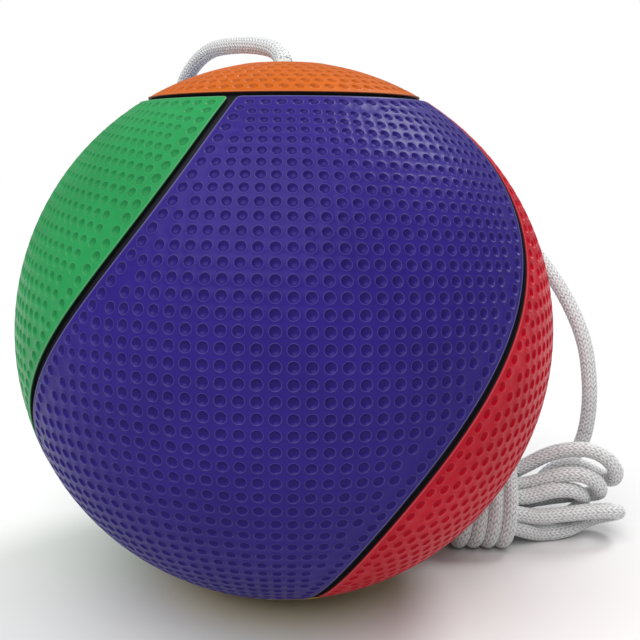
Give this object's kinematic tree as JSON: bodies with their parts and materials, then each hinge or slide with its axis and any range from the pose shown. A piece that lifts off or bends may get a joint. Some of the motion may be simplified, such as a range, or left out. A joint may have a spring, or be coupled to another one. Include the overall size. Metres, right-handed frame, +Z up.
{
  "type": "tetherball set",
  "caption": "Inflated ball with dimpled colour panels and black channels, recessed tether pin, and braided rope wound into a loose hank.",
  "frame": {"origin": "the point where the ball touches the surface it stands on, straight below its centre", "axes": "+Z up through the ball's centre and the tether's recess; -Y towards the front panel; +X towards the rope's hank"},
  "size_m": [0.277, 0.216, 0.2363],
  "materials": {
    "orange_rubber": "satin, dimpled",
    "yellow_rubber": "satin, dimpled",
    "purple_rubber": "satin, dimpled",
    "green_rubber": "satin, dimpled",
    "red_rubber": "satin, dimpled",
    "blue_rubber": "satin, dimpled",
    "black_rubber": "matt",
    "nylon_winding": "wound thread",
    "bladder_rubber": "matt",
    "valve_rubber": "matt",
    "valve_core_rubber": "matt",
    "cup_rubber": "matt",
    "patch_fabric": "woven",
    "socket_steel": "machined",
    "pin_steel": "polished",
    "rope": "braided nylon",
    "whipping_thread": "waxed thread",
    "sealed_tip": "melted nylon"
  },
  "bodies": {
    "ball": {"panel_top": "orange_rubber", "panel_bottom": "yellow_rubber", "panel_front": "purple_rubber", "panel_left": "green_rubber", "panel_right": "red_rubber", "panel_back": "blue_rubber", "carcass": "black_rubber", "winding": "nylon_winding", "bladder": "bladder_rubber", "valve_body": "valve_rubber", "valve_core": "valve_core_rubber", "tether_cup": "cup_rubber", "cup_patch": "patch_fabric", "pin_sockets": "socket_steel", "tether_pin": "pin_steel", "tether_rope": "rope", "rope_hank": "rope", "rope_end_tip": "sealed_tip"},
    "tether": {"tether_eye": "rope", "eye_whipping": "whipping_thread"}
  },
  "joints": [
    {"name": "tether_swing", "type": "hinge", "parent": "ball", "child": "tether", "pos_m": [0, 0, 0.205], "axis": [1, 0, 0], "range_deg": [0, 90]}
  ]
}
